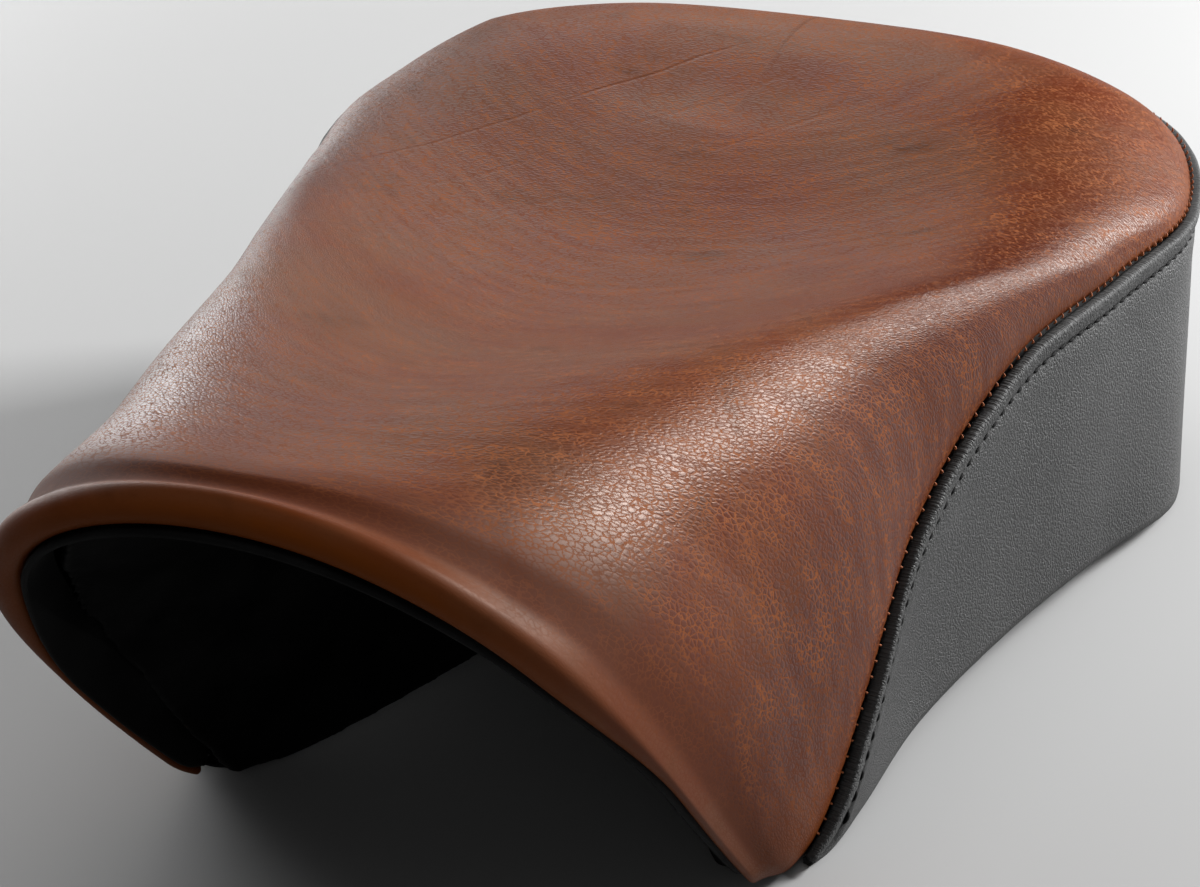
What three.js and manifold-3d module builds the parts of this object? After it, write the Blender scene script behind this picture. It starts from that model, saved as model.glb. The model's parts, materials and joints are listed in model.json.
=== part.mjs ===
// Solo motorcycle saddle: upholstered cover, foam and pan with an arched nose, and its underside fittings.
// Millimetres, +Z up, nose towards -Y, symmetric about X = 0, standing on its two leg tips and rear edge.
import * as THREE from 'three';
import { mergeVertices } from 'three/addons/utils/BufferGeometryUtils.js';
import Module from 'manifold-3d';

const wasm = await Module();
wasm.setup();
const group = new THREE.Group();
group.name = 'motorcycle_seat';

// ---- master shape: eleven ribs from the nose arch (0) to the tail centre line (10)
const LAST = 10;
const EDGE = [[75, -97, 4], [80, -85, 2], [84, -74, 9], [89, -55, 37], [92, -24, 68], [103, 29, 90],
  [117, 83, 93], [126, 138, 93], [110, 190, 96], [67, 221, 98], [0, 229, 97]];
const HEM = [[74, -96, 1.5], [79, -84, -0.5], [84, -71, 0], [87, -52, 2], [91, -17, 6], [102, 33, 8],
  [116, 86, 7], [128, 139, 2], [112, 190, 0], [67, 221, 0], [0, 228, 0]];
const SPINE = [[-222, 157], [-208, 155], [-190, 151], [-164, 147], [-134, 141], [-89, 129],
  [-38, 116], [24, 110], [96, 115]];
const POLE_RIB = 8;                 // ribs from here back fan out from the last spine point
const RIB_X_POWER = [0.95, 0.58];     // nose, tail
const RIB_Z_POWER = [0.47, 0.76];
const SHIFT = [0, -1.9, 0.13];        // puts the box centre on X = Y = 0 and its floor on Z = 0
const RAKED_RIBS = 4;               // ribs that lean forward with the nose
const PLAN_POWER = 1.7;
const RAKE_POWER = 1.25;
const TAIL_CREST = 8.5;
const TAIL_ARC = 0.83;               // share of a quarter turn that a tail rib covers

// ---- skins
const GAP = 0.3;
const WELD_STEPS = 500;              // weld grid cells in a millimetre
const LEATHER = 2.2;
const VINYL = 1.6;
const WALL_STEPS = 3;
const RIB_STEPS = 8;
const NEAR_EDGE = [9, 4, 0];        // extra rib columns this far from the leather edge
const TUCK_SPAN = 14;
const TIP_TUCK = 2;
const SEAM_TUCK = 1.4;
const GROOVE_DEPTH = 1.7;
const GROOVE_AT = 0.62;
const GROOVE_WIDTH = 0.3;
const ROLL_R = 4.2;
const ROLL_STEPS = 6;
const FLAP = 9;
const BEAD_R = 1.2;
const TRIM_T = 2.6;
const TRIM_REACH = 2.6;
const BAND_W = 7;
const BAND_OUT = 1.5;
const HEM_FLAP = 13;
const SKIRT_START = 1.95;

// ---- pan, foam and comfort pad
const PAN_T = 3;
const SOLE_LIFT = 2;
const FLANGE = 15;
const RECESS_IN = 21;
const RIM_IN = 2.2;
const ROOF_Z = 17;
const PAD_T = 14;
const PAD_ROWS = [4.6, 9.3];
const PAD_REACH = 0.62;
const FOAM_START = 0.85;
const PAN_START = 0.3;

// tunnel stations: half width, foot y, apex y, apex z, x power, z power
const TUNNEL = [[69, -110, -246, 151, 1, 0.5], [69, -93, -218, 149.5, 1, 0.5], [60, -76, -186, 138, 1, 0.52],
  [45, -48, -140, 118, 1, 0.55], [28, -14, -84, 92, 1, 0.6], [13, 22, -26, 66, 1, 0.65],
  [4, 50, 26, 44, 1, 0.7]];
const TUNNEL_FOOT = -12;
const TUNNEL_STEPS = 8;
const TUNNEL_ROWS = 9;

// ---- underside fittings
const TURN_SIDES = 12;
const TIDY = 0.03;                  // slivers and short edges under this are merged away
const PLATE_T = 2.8;
const PLATE_Z = ROOF_Z - GAP - PLATE_T;
const PLATE_W = 44;
const FOOT_DROP = 8;
const FLANGE_REACH = 12;
const STEP_RUN = 5;
const SLOT_REACH = 11;
const SLOT_HALF = 2;
const FRONT_FOOT = 23;
const REAR_FOOT = 19;
const SLOT_R = 4.4;
const SHANK_R = 2.2;
const SHANK_TOP = ROOF_Z + PAN_T - 1.1;
const HOLE_R = 2.6;
const SCREW_X = 14;
const FRONT_FLANGE_Y = 72;
const REAR_FLANGE_Y = 160;
const BUMPERS = [[56, 32], [76, 152]];
const BAR_Y = 132;
const BAR_W = 18;
const BAR_L = 130;
const RIVET_X = 52;
const GROMMET_X = 46;
const GROMMET_Y = 182;
const GROMMET_R = 4.6;

const lerp = THREE.MathUtils.lerp;
const smooth = THREE.MathUtils.smoothstep;
const vec = (x, y, z) => new THREE.Vector3(x, y, z);
const mirrored = (p) => vec(-p.x, p.y, p.z);

function loopCurve(table) {
  const half = table.map((p) => vec(...p));
  return new THREE.CatmullRomCurve3([...half, ...half.slice(0, -1).reverse().map(mirrored)]);
}
const edgeCurve = loopCurve(EDGE);
const hemCurve = loopCurve(HEM);
const spineCurve = new THREE.CatmullRomCurve3(SPINE.map(([y, z]) => vec(0, y, z)));
const edgeAt = (t) => edgeCurve.getPoint(t / (2 * LAST));
const hemAt = (t) => hemCurve.getPoint(t / (2 * LAST));
const spineAt = (t) => spineCurve.getPoint(Math.min(t, POLE_RIB) / POLE_RIB);

function ribPoint(t, v) {
  const edge = edgeAt(t);
  const top = spineAt(t);
  const full = lerp(1, TAIL_ARC, smooth(t, 4.5, 7.5)) * Math.PI / 2;
  const [acrossPower, dropPower] = [lerp(...RIB_X_POWER, t / LAST), lerp(...RIB_Z_POWER, t / LAST)];
  const foot = Math.max(Math.cos(full), 0) ** dropPower;
  const across = (Math.sin(v * full) / Math.sin(full)) ** acrossPower;
  const drop = (Math.max(Math.cos(v * full), 0) ** dropPower - foot) / (1 - foot);
  const rake = Math.max(0, 1 - t / RAKED_RIBS);
  const along = rake * (1 - drop) ** RAKE_POWER + (1 - rake) * across ** PLAN_POWER;
  const crest = TAIL_CREST * smooth(t, 4, 8.5) * Math.sin(Math.PI * v) ** 2;
  const height = lerp(edge.z, top.z, drop) + crest;
  return vec(t >= LAST ? 0 : edge.x * across, lerp(top.y, edge.y, along), height);
}

// points of one rib at even spacing from the spine, closing up near the leather edge
function ribRow(t, reach = 1) {
  const fine = [];
  for (let i = 0; i <= 120; i += 1) fine.push(ribPoint(t, 1 - (1 - i / 120) ** 2));
  const run = [0];
  for (let i = 1; i < fine.length; i += 1) run.push(run[i - 1] + fine[i].distanceTo(fine[i - 1]));
  const total = run[run.length - 1];
  const wanted = [];
  for (let i = 0; i < RIB_STEPS; i += 1) wanted.push(reach * (total - TUCK_SPAN) * i / (RIB_STEPS - 1));
  if (reach === 1) wanted.push(...NEAR_EDGE.map((d) => total - d));
  return wanted.map((s) => {
    const k = Math.min(Math.max(run.findIndex((r) => r >= s - 1e-9), 1), run.length - 1);
    return fine[k - 1].clone().lerp(fine[k], (s - run[k - 1]) / (run[k] - run[k - 1]));
  });
}

// whole row from the left edge over the spine to the right edge
const wholeRow = (half) => [...half.slice(1).reverse().map(mirrored), ...half];

// welds points closer than a micrometre-scale grid cell; slot says where each raw point went
function weld(points, faces) {
  const seen = new Map();
  const kept = [];
  const slot = points.map((p) => {
    const key = [p.x, p.y, p.z].map((c) => Math.round(c * WELD_STEPS) + 0).join('_');
    if (!seen.has(key)) {
      seen.set(key, kept.length);
      kept.push(p);
    }
    return seen.get(key);
  });
  const joined = faces.map((f) => f.map((k) => slot[k]));
  return { points: kept, faces: joined.filter(([p, q, r]) => p !== q && q !== r && r !== p), slot };
}

// two triangles of a quad, its diagonal running outwards and back on both sides of the spine
const split = (left, a, b, c, d) => (left ? [[a, b, d], [b, c, d]] : [[a, b, c], [a, c, d]]);

// open surface from rows of points; faces wind so the right-hand normal points up or out
function surface(rows) {
  const width = rows[0].length;
  const faces = [];
  for (let i = 0; i + 1 < rows.length; i += 1) {
    for (let j = 0; j + 1 < width; j += 1) {
      const [a, b] = [i * width + j, (i + 1) * width + j];
      faces.push(...split(2 * j + 1 < width - 1, a, a + 1, b + 1, b));
    }
  }
  return weld(rows.flat(), faces);
}

function normals(sheet) {
  const out = sheet.points.map(() => vec(0, 0, 0));
  for (const [a, b, c] of sheet.faces) {
    const [p, q, r] = [sheet.points[a], sheet.points[b], sheet.points[c]];
    const n = q.clone().sub(p).cross(r.clone().sub(p)).normalize();
    for (const [k, u, w] of [[a, b, c], [b, c, a], [c, a, b]]) {
      const e = sheet.points[u].clone().sub(sheet.points[k]);
      out[k].addScaledVector(n, e.angleTo(sheet.points[w].clone().sub(sheet.points[k])));
    }
  }
  sheet.points.forEach((p, i) => {
    if (Math.abs(p.x) < 1e-4) out[i].x = 0;
    out[i].normalize();
  });
  return out;
}

function moved(sheet, by) {
  const n = normals(sheet);
  return { ...sheet, points: sheet.points.map((p, i) => p.clone().addScaledVector(n[i], by)) };
}

function openEdges(faces) {
  const seen = new Map();
  for (const f of faces) {
    for (let k = 0; k < 3; k += 1) seen.set(`${f[k]}_${f[(k + 1) % 3]}`, [f[k], f[(k + 1) % 3]]);
  }
  return [...seen.values()].filter(([a, b]) => !seen.has(`${b}_${a}`));
}

// closed body between a sheet and a second set of points under it
function between(sheet, under) {
  const n = sheet.points.length;
  const faces = [...sheet.faces, ...sheet.faces.map(([a, b, c]) => [a + n, c + n, b + n])];
  for (const [p, q] of openEdges(sheet.faces)) faces.push([q, p, p + n], [q, p + n, q + n]);
  return { points: [...sheet.points, ...under], faces };
}
const shell = (sheet, thick) => between(sheet, moved(sheet, -thick).points);

// closed body from symmetric rows: left and right rims zipped together across the middle
function zipped(rows, sink) {
  const width = rows[0].length;
  const half = (width - 1) / 2;
  const at = (i, j) => i * width + half + j;
  const faces = [];
  for (let i = 0; i + 1 < rows.length; i += 1) {
    for (let j = -half; j < half; j += 1) {
      faces.push(...split(j < 0, at(i, j), at(i, j + 1), at(i + 1, j + 1), at(i + 1, j)));
    }
  }
  const open = weld(rows.flat(), faces);
  const n = normals(open);
  const inset = rows.flat().map((p, k) => p.clone().addScaledVector(n[open.slot[k]], -sink));
  for (let j = 0; j < half; j += 1) {
    faces.push([at(0, -j), at(0, -j - 1), at(0, j + 1)], [at(0, -j), at(0, j + 1), at(0, j)]);
  }
  for (let i = 0; i + 1 < rows.length; i += 1) {
    const [a, b, c, d] = [at(i, -half), at(i + 1, -half), at(i + 1, half), at(i, half)];
    faces.push([a, b, c], [a, c, d]);
  }
  return weld(inset, faces);
}

function solid(body) {
  const welded = weld(body.points, body.faces);
  const swell = welded.faces.reduce((sum, f) => {
    const [p, q, r] = f.map((k) => welded.points[k]);
    return sum + p.dot(q.clone().cross(r));
  }, 0);
  if (swell < 0) welded.faces.forEach((f) => f.reverse());
  const made = new wasm.Manifold(new wasm.Mesh({
    numProp: 3,
    vertProperties: Float32Array.from(welded.points.flatMap((p) => [p.x, p.y, p.z])),
    triVerts: Uint32Array.from(welded.faces.flat()),
  }));
  return made;
}

function fromGeometry(geometry) {
  const bare = new THREE.BufferGeometry();
  bare.setAttribute('position', geometry.attributes.position);
  if (geometry.index) bare.setIndex(geometry.index);
  const merged = mergeVertices(bare, 1e-4);
  return new wasm.Manifold(new wasm.Mesh({
    numProp: 3,
    vertProperties: Float32Array.from(merged.attributes.position.array),
    triVerts: Uint32Array.from(merged.index.array),
  }));
}

const largest = (m) => m.decompose().sort((a, b) => b.volume() - a.volume())[0];

function add(name, body, colour) {
  const mesh = largest(body.simplify(TIDY)).getMesh();
  const geometry = new THREE.BufferGeometry();
  const step = mesh.numProp;
  const flat = new Float32Array(mesh.vertProperties.length / step * 3);
  for (let i = 0; i < flat.length / 3; i += 1) {
    for (let k = 0; k < 3; k += 1) flat[3 * i + k] = mesh.vertProperties[i * step + k];
  }
  geometry.setAttribute('position', new THREE.BufferAttribute(flat, 3));
  geometry.setIndex(new THREE.BufferAttribute(Uint32Array.from(mesh.triVerts), 1));
  geometry.translate(...SHIFT);
  geometry.computeVertexNormals();
  const out = new THREE.Mesh(geometry, new THREE.MeshStandardMaterial({ color: colour, name }));
  out.name = name;
  group.add(out);
}

// ---- leather cover: groove behind the nose, rolled lip, flap turned back into the tunnel
const coverStations = [0, 0.3, 0.62, 0.95, 1.4, 1.9, 2.5, 3.1, 3.7, 4.4, 5.1, 5.8, 6.5,
  7.1, 7.7, 8.2, 8.7, 9.2, 9.6, 10];
const plainRows = coverStations.map((t) => ribRow(t));
const plainSheet = surface(plainRows.map(wholeRow));
const plainField = normals(plainSheet);
const rowWidth = 2 * plainRows[0].length - 1;
const plainNormals = plainRows.map((row, i) => row.map((p, j) => (
  plainField[plainSheet.slot[i * rowWidth + row.length - 1 + j]])));
const coverRows = plainRows.map((row, i) => {
  const t = coverStations[i];
  const groove = GROOVE_DEPTH * Math.max(0, 1 - ((t - GROOVE_AT) / GROOVE_WIDTH) ** 2);
  const tuck = lerp(TIP_TUCK, SEAM_TUCK, smooth(t, 1.2, 2));
  const tail = row.length - NEAR_EDGE.length;
  return row.map((p, j) => {
    const near = j < tail ? TUCK_SPAN : NEAR_EDGE[j - tail];
    const pull = groove + tuck * (1 - near / TUCK_SPAN) ** 2;
    return p.clone().addScaledVector(plainNormals[i][j], -pull);
  });
});
const lipFrame = coverRows[0].map((p, j) => {
  const row = coverRows[0];
  const ahead = row[Math.min(j + 1, row.length - 1)];
  const behind = j ? row[j - 1] : mirrored(row[1]);
  const along = ahead.clone().sub(behind).normalize();
  const out = plainNormals[0][j].clone();
  out.addScaledVector(along, -out.dot(along)).normalize();
  const forward = out.clone().cross(along).normalize();
  if (forward.y > 0) forward.negate();
  if (j === 0) {
    out.x = 0;
    forward.x = 0;
  }
  return { p, out, forward };
});
const lipRow = (deep, ahead) => lipFrame.map(({ p, out, forward }) => (
  p.clone().addScaledVector(out, -deep).addScaledVector(forward, ahead)));
const lipRows = [lipRow(2 * ROLL_R, -FLAP), lipRow(2 * ROLL_R, -FLAP / 2)];
for (let k = ROLL_STEPS; k > 0; k -= 1) {
  const a = Math.PI * k / ROLL_STEPS;
  lipRows.push(lipRow(ROLL_R * (1 - Math.cos(a)), ROLL_R * Math.sin(a)));
}
const coverSheet = surface([...lipRows, ...coverRows].map(wholeRow));
const cover = solid(shell(coverSheet, LEATHER));
const coverRoom = solid(shell(moved(coverSheet, GAP), LEATHER + 3 * GAP)).add(cover);

// ---- side wall under the seam
const pace = 0.02;
const slope = (curve, t) => curve(Math.min(t + pace, 2 * LAST)).sub(curve(Math.max(t - pace, 0))).normalize();
function inwardAt(t, curve) {
  const d = slope(curve, t);
  return vec(-d.y, d.x, 0).normalize();
}
// across the seam, square to it and down the wall
function acrossSeam(t) {
  const along = slope(edgeAt, t);
  const side = along.clone().cross(inwardAt(t, edgeAt)).normalize();
  return side.z < 0 ? side : side.negate();
}
function wallRow(t, from, steps) {
  const top = edgeAt(t).addScaledVector(acrossSeam(t), from);
  const low = hemAt(t);
  return Array.from({ length: steps + 1 }, (_, k) => top.clone().lerp(low, k / steps));
}
function sidePath(stations) {
  return [...stations, ...stations.slice(0, -1).reverse().map((t) => 2 * LAST - t)];
}
const skirtStations = sidePath([SKIRT_START, 2.5, 3, 3.6, 4.2, 4.8, 5.4, 6, 6.5, 7, 7.4, 7.8, 8.2,
  8.6, 9, 9.5, 10]);
const skirtRows = skirtStations.map((t) => {
  const wall = wallRow(t, BAND_W + 2 * GAP, WALL_STEPS);
  const low = wall[wall.length - 1];
  const reach = HEM_FLAP * smooth(Math.min(t, 2 * LAST - t), 1.9, 3.2) + 2;
  return [...wall, low.clone().addScaledVector(inwardAt(t, hemAt), reach)];
});
const skirtSheet = surface(skirtRows);
const skirt = solid(shell(skirtSheet, VINYL));
const skirtRoom = solid(shell(moved(skirtSheet, GAP), VINYL + 2 * GAP)).add(skirt);


// ---- raised band over the seam
function bandRing(t, grow, deep = VINYL) {
  const at = edgeAt(t);
  const down = acrossSeam(t);
  const out = inwardAt(t, edgeAt).negate();
  const [near, far] = [GAP - grow, BAND_W + GAP + grow];
  const [low, high] = [-deep - grow, BAND_OUT + grow];
  return [[near, low], [near, high - 0.8], [near + 1, high], [far - 1, high], [far, high - 0.8], [far, low]]
    .map(([d, o]) => at.clone().addScaledVector(down, d).addScaledVector(out, o));
}
// closed body swept through a list of rings of equal count
function swept(rings) {
  const n = rings[0].length;
  const faces = [];
  for (let i = 0; i + 1 < rings.length; i += 1) {
    for (let k = 0; k < n; k += 1) {
      const [a, b] = [i * n + k, i * n + (k + 1) % n];
      faces.push([a, b, b + n], [a, b + n, a + n]);
    }
  }
  const last = (rings.length - 1) * n;
  for (let k = 1; k + 1 < n; k += 1) faces.push([0, k + 1, k], [last, last + k, last + k + 1]);
  return solid({ points: rings.flat(), faces });
}
const bandStations = sidePath([SKIRT_START, 2.5, 3, 3.5, 4, 4.6, 5.2, 5.9, 6.5, 7, 7.4, 7.8, 8.2,
  8.6, 9, 9.5, 10]);
const band = swept(bandStations.map((t) => bandRing(t, 0)));
const bandRoom = swept(bandStations.map((t) => bandRing(t, GAP)));
const seamRoom = swept(bandStations.map((t) => bandRing(t, 2 * GAP, SEAM_TUCK + LEATHER)));

// ---- nose trim strip and the bead inside the rolled lip
const lipSweep = (section) => {
  const rows = section.map(([deep, ahead]) => wholeRow(lipRow(deep, ahead)));
  return swept(rows[0].map((_, j) => rows.map((row) => row[j])));
};
const trimIn = 2 * ROLL_R + GAP;
const trim = lipSweep([[trimIn, -FLAP - 1], [trimIn, TRIM_REACH - 0.9], [trimIn + 0.9, TRIM_REACH],
  [trimIn + TRIM_T, TRIM_REACH - 0.9], [trimIn + TRIM_T, -FLAP], [trimIn + 1.4, -FLAP - 1]]);
const bead = lipSweep(Array.from({ length: 8 }, (_, i) => {
  const a = 2 * Math.PI * i / 8;
  return [ROLL_R + BEAD_R * Math.sin(a), BEAD_R * Math.cos(a)];
}));

// ---- block of everything inside the skins, from one rib back
const coreStations = [PAN_START, FOAM_START, 1.4, 1.9, 2.5, 3.1, 3.7, 4.4, 5.1, 5.8, 6.5, 7.1, 7.7,
  8.2, 8.7, 9.2, 9.6, 10];
function core(start, sink) {
  const rows = coreStations.filter((t) => t >= start).map((t) => {
    const top = edgeAt(t);
    const low = hemAt(t).add(vec(0, 0, SOLE_LIFT));
    return wholeRow([...ribRow(t).slice(0, -NEAR_EDGE.length), top, low]);
  });
  return solid(zipped(rows, sink));
}

// ---- tunnel through the nose
const tunnelCurves = [0, 1, 2].map((k) => new THREE.CatmullRomCurve3(
  TUNNEL.map((row) => vec(row[2 * k], row[2 * k + 1], 0))));
function tunnel(grow) {
  const rings = [];
  for (let i = 0; i <= TUNNEL_ROWS; i += 1) {
    const u = i / TUNNEL_ROWS;
    const [plan, apex, power] = tunnelCurves.map((c) => c.getPoint(u));
    const ring = [];
    for (let j = -TUNNEL_STEPS; j <= TUNNEL_STEPS; j += 1) {
      const a = Math.abs(j) / TUNNEL_STEPS * Math.PI / 2;
      const drop = Math.max(Math.cos(a), 0) ** power.y;
      ring.push(vec(Math.sign(j) * (plan.x + grow) * Math.sin(a) ** power.x,
        lerp(plan.y, apex.x, drop) + (i === TUNNEL_ROWS ? grow : 0),
        lerp(TUNNEL_FOOT, apex.y + grow, drop)));
    }
    rings.push(ring.reverse());
  }
  return swept(rings);
}

// ---- pan: flanged deck with a raised flat roof, and the tunnel wall
const deckStations = [0, 0.6, 1.2, 2, 2.8, 3.4, 4, 4.6, 5.2, 5.8, 6.4, 7, 7.5, 8, 8.5, 9, 9.5, 10];
const deckRows = deckStations.map((t) => {
  const rim = hemAt(t).add(vec(0, 0, SOLE_LIFT));
  const inward = t < LAST ? inwardAt(t, hemAt) : vec(0, -1, 0);
  const roof = lerp(rim.z, ROOF_Z, smooth(t, 3, 4.6));
  const half = [RECESS_IN, FLANGE, -RIM_IN].map((d) => rim.clone().addScaledVector(inward, d));
  half[0].z = roof;
  return [...half.slice().reverse().map(mirrored), ...half];
});
const deckSheet = surface(deckRows);
const deckTop = (up) => moved(deckSheet, up);
const deck = solid(between(deckTop(PAN_T), deckSheet.points));
const deckBlock = solid(between(deckTop(PAN_T + 1.6 * GAP), deckSheet.points.map((p) => vec(p.x, p.y, -40))));

// round piece from (radius, z) pairs listed from the bottom up and closed on or round the axis
function turned(profile, x, y, sides = TURN_SIDES) {
  const shape = new THREE.LatheGeometry(profile.map(([r, z]) => new THREE.Vector2(r, z)), sides);
  shape.rotateX(Math.PI / 2);
  shape.translate(x, y, 0);
  return fromGeometry(shape);
}
const rod = (r, low, high, x, y) => turned([[0, low], [r, low], [r, high], [0, high]], x, y);
const tube = (inner, outer, low, high, x, y) => turned(
  [[inner, low], [outer, low], [outer, high], [inner, high], [inner, low]], x, y);

// plate bent from a side profile of (y, z) pairs, centred on x
function bentPlate(profile, width) {
  const shape = new THREE.Shape(profile.map(([y, z]) => new THREE.Vector2(y, z)));
  const made = new THREE.ExtrudeGeometry(shape, { depth: width, bevelEnabled: false });
  made.translate(0, 0, -width / 2);
  made.applyMatrix4(new THREE.Matrix4().makeBasis(vec(0, 1, 0), vec(0, 0, 1), vec(1, 0, 0)));
  return fromGeometry(made);
}
// stepped bracket: screwed flange against the deck, then a lower foot with a slot
function bracket(screwY, footLength) {
  const low = PLATE_Z - FOOT_DROP;
  const t = PLATE_T;
  const step = screwY + FLANGE_REACH;
  const foot = step + STEP_RUN;
  const slotY = foot + SLOT_REACH;
  const plate = bentPlate([[screwY - FLANGE_REACH, PLATE_Z], [step, PLATE_Z], [foot, low],
    [foot + footLength, low], [foot + footLength, low + t], [foot + t / 2, low + t],
    [step + t / 2, PLATE_Z + t], [screwY - FLANGE_REACH, PLATE_Z + t]], PLATE_W);
  const slot = [-SLOT_HALF, SLOT_HALF].map((x) => rod(SLOT_R, low - 1, low + t + 1, x, slotY));
  return plate.subtract(slot[0]).subtract(slot[1]);
}

const screwSpots = [];
for (const y of [FRONT_FLANGE_Y, REAR_FLANGE_Y]) {
  screwSpots.push([SCREW_X, y], [-SCREW_X, y]);
}
const bumperSpots = BUMPERS.flatMap(([x, y]) => [[x, y], [-x, y]]);
const rivetSpots = [[RIVET_X, BAR_Y], [-RIVET_X, BAR_Y]];
const grommetSpots = [[GROMMET_X, GROMMET_Y], [-GROMMET_X, GROMMET_Y]];
const drilled = (body, spots, r) => spots.reduce((rest, [x, y]) => (
  rest.subtract(rod(r, -5, ROOF_Z + 2 * PAN_T, x, y))), body);

const frontBracket = drilled(bracket(FRONT_FLANGE_Y, FRONT_FOOT), screwSpots, HOLE_R);
const rearBracket = drilled(bracket(REAR_FLANGE_Y, REAR_FOOT), screwSpots, HOLE_R);
const barFront = BAR_Y - BAR_W / 2;
const barBack = BAR_Y + BAR_W / 2;
const barShape = bentPlate([[barFront, PLATE_Z], [barBack, PLATE_Z], [barBack, PLATE_Z + PLATE_T],
  [barFront, PLATE_Z + PLATE_T]], BAR_L);
const bar = drilled(barShape, rivetSpots, HOLE_R);

let pan = tunnel(PAN_T).add(deck).intersect(core(PAN_START, RIM_IN));
pan = pan.subtract(tunnel(0)).subtract(coverRoom).subtract(skirtRoom).subtract(seamRoom);
pan = drilled(pan, [...screwSpots, ...bumperSpots, ...rivetSpots], HOLE_R);
pan = drilled(pan, grommetSpots, GROMMET_R + GAP);

function padBody(rowsFrom, rowsTo, reach, top, low) {
  const stations = Array.from({ length: 9 }, (_, i) => lerp(rowsFrom, rowsTo, i / 8));
  const sheet = surface(stations.map((t) => wholeRow(ribRow(t, reach))));
  return solid(between(moved(sheet, top), moved(sheet, low).points));
}
const skinIn = LEATHER + GAP;
const pad = padBody(...PAD_ROWS, PAD_REACH, -skinIn - 3 * GAP, -PAD_T);
const padRoom = padBody(PAD_ROWS[0] - 0.06, PAD_ROWS[1] + 0.06, PAD_REACH + 0.02, 4, -PAD_T - 2 * GAP);

const trimRoom = trim.add(lipSweep([[trimIn - GAP, -FLAP - 1.4], [trimIn - GAP, TRIM_REACH - 0.2],
  [trimIn + TRIM_T + GAP, TRIM_REACH - 0.2], [trimIn + TRIM_T + GAP, -FLAP - 1.4]]));
pan = pan.subtract(trimRoom);
const legRoom = fromGeometry(new THREE.BoxGeometry(300, 80, 60).translate(0, -100, -2));
let foam = core(FOAM_START, skinIn + 0.2).subtract(tunnel(PAN_T + 1.6 * GAP)).subtract(deckBlock);
for (const room of [trimRoom, padRoom, pad, coverRoom, skirtRoom, seamRoom, legRoom]) {
  foam = foam.subtract(room);
}

add('leather_cover', cover.subtract(bandRoom), 0x8a5a3c);
add('side_skirt', skirt.subtract(bandRoom).subtract(coverRoom), 0x2b2b2c);
add('seam_band', band, 0x232324);
add('nose_trim', trim.subtract(coverRoom), 0x1c1c1c);
add('lip_bead', bead, 0xd8d0b8);
add('foam_cushion', foam, 0xd9c98f);
add('comfort_pad', pad, 0x6c88a8);
add('base_pan', pan, 0x202022);
add('front_bracket', frontBracket, 0x303236);
add('rear_bracket', rearBracket, 0x303236);
add('cross_bar', bar, 0x3a3c40);
// domed head of a given radius and height with its shank up into the deck
const fastener = (headR, low, high, x, y) => turned([[0, low], [0.62 * headR, low],
  [headR, lerp(low, high, 0.45)], [headR, high], [SHANK_R, high], [SHANK_R, SHANK_TOP],
  [0, SHANK_TOP]], x, y);
const padFace = ROOF_Z - GAP;
screwSpots.forEach(([x, y], i) => {
  add(`screw_${i + 1}`, fastener(4.2, PLATE_Z - 4.2, PLATE_Z - 1.6, x, y), 0x9a9ca0);
  add(`washer_${i + 1}`, tube(HOLE_R, 5.6, PLATE_Z - 1.3, PLATE_Z - GAP, x, y), 0xa4a6aa);
});
bumperSpots.forEach(([x, y], i) => {
  add(`bumper_${i + 1}`, turned([[HOLE_R, padFace - 5], [5.6, padFace - 5], [5.6, padFace - 9],
    [7.4, padFace - 10], [9.4, padFace - 9.4], [11, padFace - 7], [11.6, padFace], [HOLE_R, padFace],
    [HOLE_R, padFace - 5]], x, y), 0x161616);
  add(`bumper_screw_${i + 1}`, fastener(4.4, padFace - 8.2, padFace - 5.3, x, y), 0x9a9ca0);
});
rivetSpots.forEach(([x, y], i) => {
  add(`bar_rivet_${i + 1}`, fastener(4, PLATE_Z - 2.1, PLATE_Z - GAP, x, y), 0x8c8e92);
});
grommetSpots.forEach(([x, y], i) => {
  add(`grommet_${i + 1}`, turned([[3, padFace - 1.6], [7.4, padFace - 1.6], [8, padFace], [GROMMET_R, padFace],
    [GROMMET_R, SHANK_TOP], [3, SHANK_TOP], [3, padFace - 1.6]], x, y), 0x141414);
});
export default group;
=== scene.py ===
"""Solo motorcycle saddle: brown leather over foam, black vinyl wall, arched nose, fitted underside."""

import json
import math

import bmesh
import bpy
import numpy as np
from mathutils import Matrix, Vector


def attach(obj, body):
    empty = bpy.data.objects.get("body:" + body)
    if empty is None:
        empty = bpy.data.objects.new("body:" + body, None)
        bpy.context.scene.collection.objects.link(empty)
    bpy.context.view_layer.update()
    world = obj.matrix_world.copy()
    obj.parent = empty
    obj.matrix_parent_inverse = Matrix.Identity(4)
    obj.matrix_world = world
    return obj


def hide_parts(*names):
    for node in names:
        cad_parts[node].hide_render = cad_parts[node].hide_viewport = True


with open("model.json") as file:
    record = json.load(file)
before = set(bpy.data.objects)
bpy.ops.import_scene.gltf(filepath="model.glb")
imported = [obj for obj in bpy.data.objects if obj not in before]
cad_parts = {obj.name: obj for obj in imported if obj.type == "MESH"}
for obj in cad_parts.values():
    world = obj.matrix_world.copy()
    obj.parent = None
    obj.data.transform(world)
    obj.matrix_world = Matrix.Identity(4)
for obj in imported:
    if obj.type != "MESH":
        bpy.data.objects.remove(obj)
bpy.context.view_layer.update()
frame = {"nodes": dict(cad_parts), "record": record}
NODES = frame["nodes"]
MM = 0.001

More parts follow.
